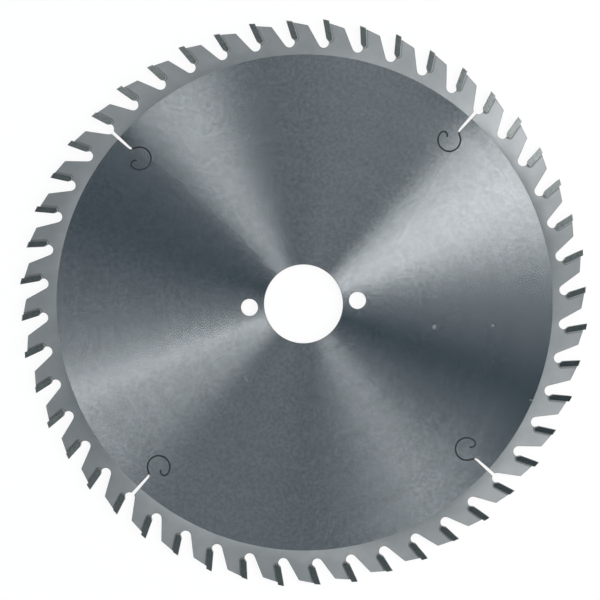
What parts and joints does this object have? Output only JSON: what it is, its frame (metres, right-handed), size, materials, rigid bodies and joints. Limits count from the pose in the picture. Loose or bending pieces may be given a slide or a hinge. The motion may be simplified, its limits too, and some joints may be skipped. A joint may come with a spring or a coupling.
{
  "type": "circular saw blade",
  "caption": "Thin round steel saw blade with carbide-tipped hooked teeth, curled expansion slots, a plain bore and pin holes beside it.",
  "frame": {"origin": "centre of the bore on the plate's middle plane, which is also the centre of the bounding box", "axes": "+Z along the blade's axis, out of the face from which the blade turns counter-clockwise; +X through one pin hole"},
  "size_m": [0.216, 0.216, 0.0028],
  "materials": {
    "plate_steel": "circular brushed disc with a matt blasted rim",
    "carbide": "dark ground tungsten carbide",
    "braze": "thin film of silver solder",
    "curl_filling": "dark damping resin"
  },
  "bodies": {
    "root": {"plate": "plate_steel", "tip_01": "carbide", "tip_02": "carbide", "tip_03": "carbide", "tip_04": "carbide", "tip_05": "carbide", "tip_06": "carbide", "tip_07": "carbide", "tip_08": "carbide", "tip_09": "carbide", "tip_10": "carbide", "tip_11": "carbide", "tip_12": "carbide", "tip_13": "carbide", "tip_14": "carbide", "tip_15": "carbide", "tip_16": "carbide", "tip_17": "carbide", "tip_18": "carbide", "tip_19": "carbide", "tip_20": "carbide", "tip_21": "carbide", "tip_22": "carbide", "tip_23": "carbide", "tip_24": "carbide", "tip_25": "carbide", "tip_26": "carbide", "tip_27": "carbide", "tip_28": "carbide", "tip_29": "carbide", "tip_30": "carbide", "tip_31": "carbide", "tip_32": "carbide", "tip_33": "carbide", "tip_34": "carbide", "tip_35": "carbide", "tip_36": "carbide", "tip_37": "carbide", "tip_38": "carbide", "tip_39": "carbide", "tip_40": "carbide", "tip_41": "carbide", "tip_42": "carbide", "tip_43": "carbide", "tip_44": "carbide", "tip_45": "carbide", "tip_46": "carbide", "tip_47": "carbide", "tip_48": "carbide"}
  },
  "joints": []
}
